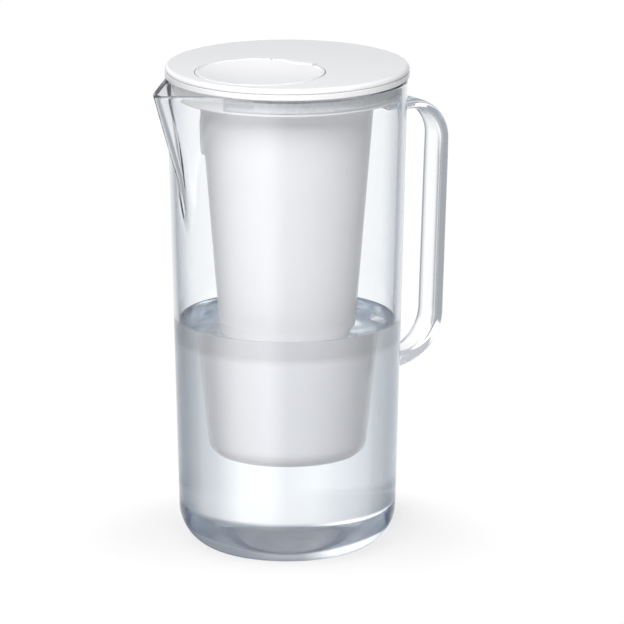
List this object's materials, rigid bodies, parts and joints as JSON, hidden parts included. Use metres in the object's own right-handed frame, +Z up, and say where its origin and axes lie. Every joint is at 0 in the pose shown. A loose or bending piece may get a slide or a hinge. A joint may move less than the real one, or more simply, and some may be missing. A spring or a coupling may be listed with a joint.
{
  "type": "water filter pitcher",
  "caption": "Clear jug with a spout and a band handle, a white filter hopper with a cartridge hung in its mouth, and a round lid with a dished flip flap.",
  "frame": {"origin": "centre of the jug's flat foot, on the surface it stands on", "axes": "+Z up the jug's axis, +X towards the handle, -X towards the spout"},
  "size_m": [0.1771, 0.128, 0.2593],
  "materials": {
    "clear_plastic": "clear, polished mould",
    "water": "clear water",
    "white_plastic": "glossy white moulding",
    "silicone": "milky soft silicone",
    "cartridge_plastic": "satin white moulding",
    "seal_rubber": "matt",
    "mesh": "fine woven screen",
    "carbon": "black granules",
    "resin": "amber beads",
    "felt": "pressed felt",
    "pin_steel": "ground"
  },
  "bodies": {
    "jug": {"jug_body": "clear_plastic", "jug_handle": "clear_plastic"},
    "hopper": {"hopper_body": "white_plastic", "hopper_seal": "silicone"},
    "cartridge": {"cartridge_shell": "cartridge_plastic", "cartridge_cap": "cartridge_plastic", "cartridge_base": "cartridge_plastic", "cartridge_seal": "seal_rubber", "inlet_mesh": "mesh", "carbon_bed": "carbon", "middle_felt": "felt", "resin_bed": "resin", "outlet_felt": "felt"},
    "lid": {"lid_cover": "white_plastic", "lid_liner": "white_plastic", "lid_gasket": "silicone", "hinge_pin": "pin_steel"},
    "flap": {"flap_disc": "white_plastic", "flap_seal": "silicone"}
  },
  "joints": [
    {"name": "hopper_lift", "type": "slide", "parent": "jug", "child": "hopper", "axis": [0, 0, 1], "range_m": [0, 0.21]},
    {"name": "cartridge_lift", "type": "slide", "parent": "hopper", "child": "cartridge", "axis": [0, 0, 1], "range_m": [0, 0.075]},
    {"name": "lid_lift", "type": "slide", "parent": "hopper", "child": "lid", "axis": [0, 0, 1], "range_m": [0, 0.06]},
    {"name": "flap_hinge", "type": "hinge", "parent": "lid", "child": "flap", "pos_m": [0.00661, 0.00285, 0.25715], "axis": [-0.3955, 0.9184, 0], "range_deg": [0, 95]}
  ]
}
